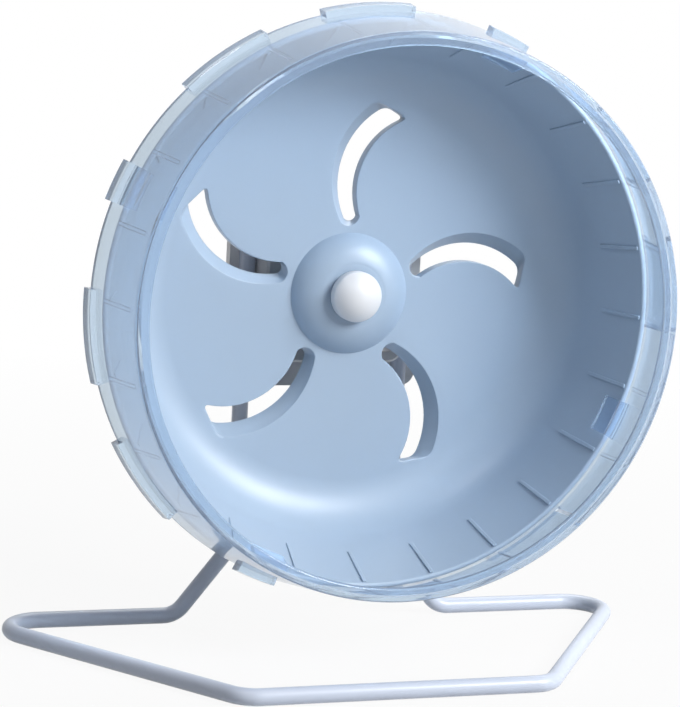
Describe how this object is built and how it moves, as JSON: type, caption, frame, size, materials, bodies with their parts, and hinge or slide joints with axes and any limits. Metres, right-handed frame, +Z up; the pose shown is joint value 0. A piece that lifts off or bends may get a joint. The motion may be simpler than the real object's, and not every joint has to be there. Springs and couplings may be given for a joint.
{
  "type": "rodent exercise wheel",
  "caption": "Dished running wheel with swirl slots and a clear front ring, turning on a bearing hub on a bent rod stand.",
  "frame": {"origin": "on the floor, under the middle of the base's depth and width", "axes": "+Z up, +Y from the wheel's open front to the back along its axle, +X to the right as seen from the front"},
  "size_m": [0.2602, 0.1246, 0.2544],
  "materials": {
    "rod_paint": "smooth powder coat",
    "white_plastic": "satin moulded plastic",
    "blue_plastic": "glossy moulded plastic",
    "clear_plastic": "polished clear plastic",
    "fastener_steel": "zinc plated",
    "sleeve_aluminium": "turned",
    "bearing_steel": "ground and polished",
    "shield_steel": "pressed sheet"
  },
  "bodies": {
    "stand": {"stand_rod": "rod_paint", "rod_end_caps": "white_plastic", "bracket_block": "white_plastic", "bracket_cover": "white_plastic", "bracket_screws": "fastener_steel", "bracket_nuts": "fastener_steel", "axle_bolt": "fastener_steel", "axle_washer": "fastener_steel", "axle_nut": "fastener_steel", "spacer_sleeve": "sleeve_aluminium", "rear_spacer": "sleeve_aluminium", "front_inner_ring": "bearing_steel", "rear_inner_ring": "bearing_steel", "axle_cap": "white_plastic"},
    "wheel": {"running_bowl": "blue_plastic", "clear_ring": "clear_plastic", "hub_cover": "blue_plastic", "hub_screws": "fastener_steel", "front_outer_ring": "bearing_steel", "rear_outer_ring": "bearing_steel", "front_shields": "shield_steel", "rear_shields": "shield_steel"},
    "front_cage_set": {"front_cage": "shield_steel", "front_balls": "bearing_steel"},
    "rear_cage_set": {"rear_cage": "shield_steel", "rear_balls": "bearing_steel"}
  },
  "joints": [
    {"name": "wheel_spin", "type": "hinge", "parent": "stand", "child": "wheel", "pos_m": [0, 0, 0.14], "axis": [0, -1, 0], "continuous": true},
    {"name": "front_cage_spin", "type": "hinge", "parent": "stand", "child": "front_cage_set", "pos_m": [0, 0, 0.14], "axis": [0, -1, 0], "continuous": true},
    {"name": "rear_cage_spin", "type": "hinge", "parent": "stand", "child": "rear_cage_set", "pos_m": [0, 0, 0.14], "axis": [0, -1, 0], "continuous": true}
  ],
  "couplings": [
    {"joint": "front_cage_spin", "follows": "wheel_spin", "ratio": 0.6323},
    {"joint": "rear_cage_spin", "follows": "wheel_spin", "ratio": 0.6323}
  ]
}
